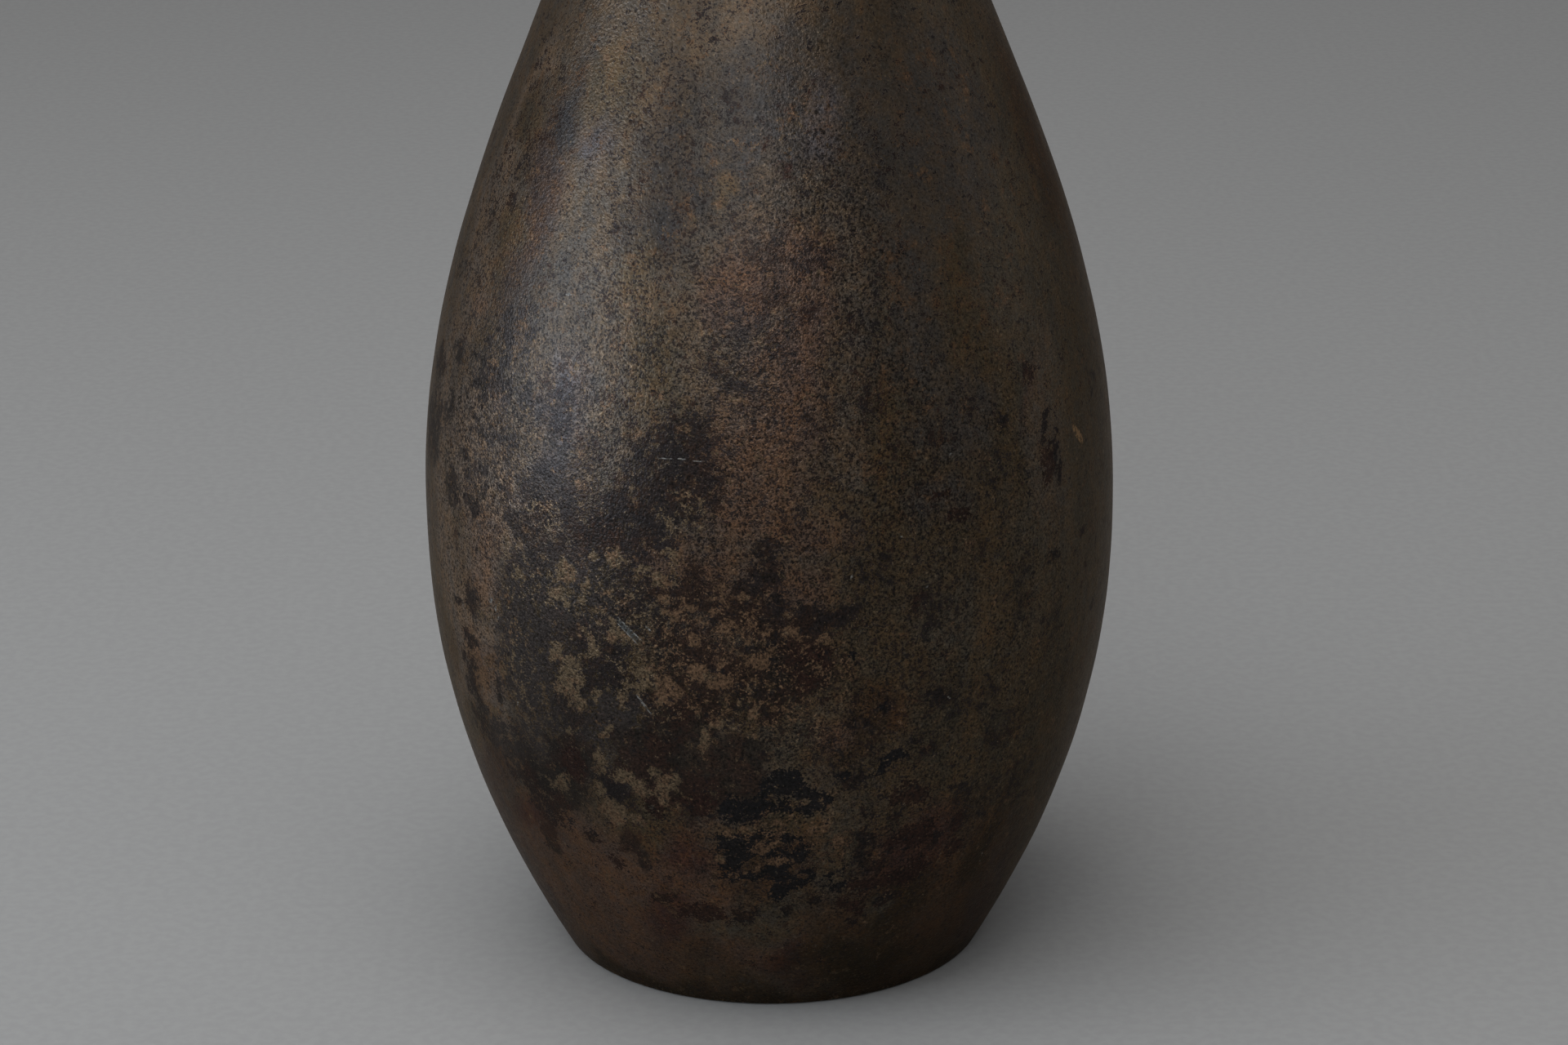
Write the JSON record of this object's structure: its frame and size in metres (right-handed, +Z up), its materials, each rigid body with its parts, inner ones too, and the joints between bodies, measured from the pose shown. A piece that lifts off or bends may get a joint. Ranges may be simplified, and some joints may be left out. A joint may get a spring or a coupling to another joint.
{
  "type": "flower vase",
  "caption": "Tall pear-shaped bronze flower vase with a slender neck, flared rounded mouth and narrow flat foot closed by an inset base plate.",
  "frame": {"origin": "middle of the foot, at the height of the surface that the vase stands on", "axes": "+Z up along the vase's axis, from the foot to the mouth; -Y towards the side that the picture shows"},
  "size_m": [0.18, 0.18, 0.412],
  "materials": {
    "mottled_bronze": "cast bronze with a fine sandy grain, waxed, with a mottled patina of ochre, brown, dark red and near black",
    "plain_bronze": "turned bronze, dulled dark brown",
    "aged_solder": "soft solder, dulled dark grey"
  },
  "bodies": {
    "root": {"body_casting": "mottled_bronze", "base_plate": "plain_bronze", "base_solder_bead": "aged_solder"}
  },
  "joints": []
}
